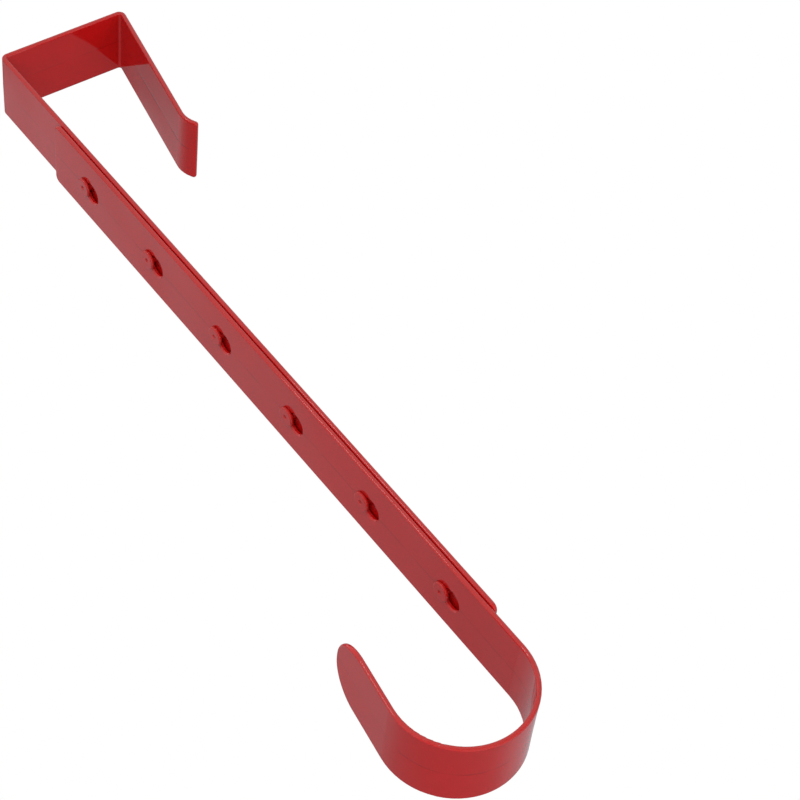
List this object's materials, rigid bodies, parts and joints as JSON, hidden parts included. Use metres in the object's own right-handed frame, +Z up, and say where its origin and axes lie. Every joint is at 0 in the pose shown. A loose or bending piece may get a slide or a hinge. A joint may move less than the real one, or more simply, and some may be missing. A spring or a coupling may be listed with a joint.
{
  "type": "over-door wreath hanger",
  "caption": "Red enamelled steel over-door wreath hanger: a folded door strap with riveted studs carries a keyholed hook strap that lifts off to change the length.",
  "frame": {"origin": "on the door's top edge under the top plate, midway through the door gap and midway across the strip", "axes": "+Z up as hung, -Y to the front where the hook is, +Y to the back of the door, +X to the right as seen from the front"},
  "size_m": [0.0254, 0.0958, 0.317],
  "materials": {
    "red_enamel": "gloss"
  },
  "bodies": {
    "door_strap": {"door_strap": "red_enamel", "studs": "red_enamel"},
    "hook": {"hook_strap": "red_enamel"}
  },
  "joints": [
    {"name": "hook_lift", "type": "slide", "parent": "door_strap", "child": "hook", "axis": [0, 0, 1], "range_m": [0, 0.00585]}
  ]
}
